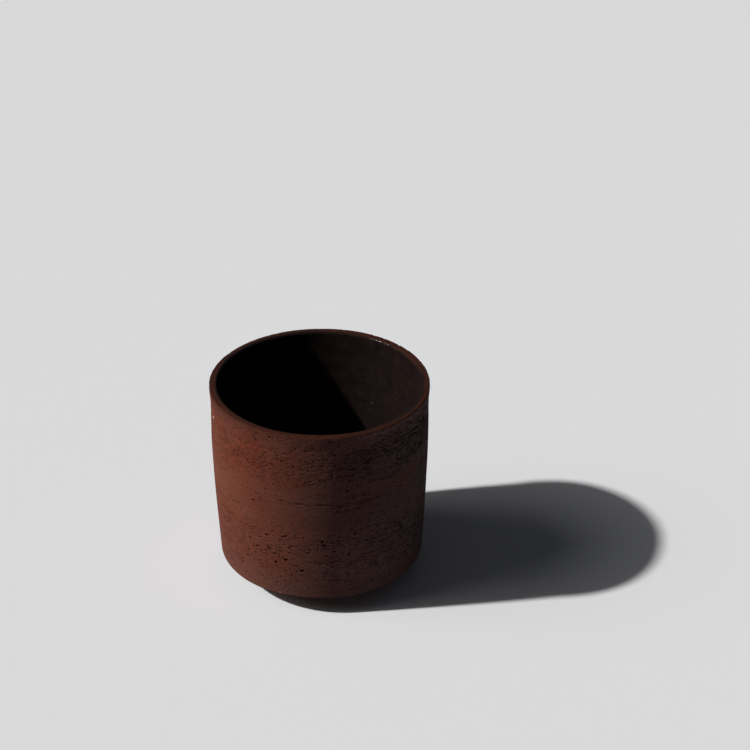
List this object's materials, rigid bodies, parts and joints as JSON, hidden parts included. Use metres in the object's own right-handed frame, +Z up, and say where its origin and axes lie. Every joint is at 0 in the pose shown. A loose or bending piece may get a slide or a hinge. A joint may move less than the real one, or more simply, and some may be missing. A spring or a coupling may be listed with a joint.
{
  "type": "tumbler",
  "caption": "Handle-less stoneware drinking cup with near-upright walls of bare dark red clay, a faint lip, a recessed foot ring and a dark glaze lining.",
  "frame": {"origin": "centre of the foot ring on the surface the cup stands on", "axes": "+Z up along the turning axis, towards the mouth"},
  "size_m": [0.082, 0.082, 0.079],
  "materials": {
    "bare_clay": "matte, turned, with small pits",
    "dark_glaze": "satin"
  },
  "bodies": {
    "root": {"clay_body": "bare_clay", "glaze_lining": "dark_glaze"}
  },
  "joints": []
}
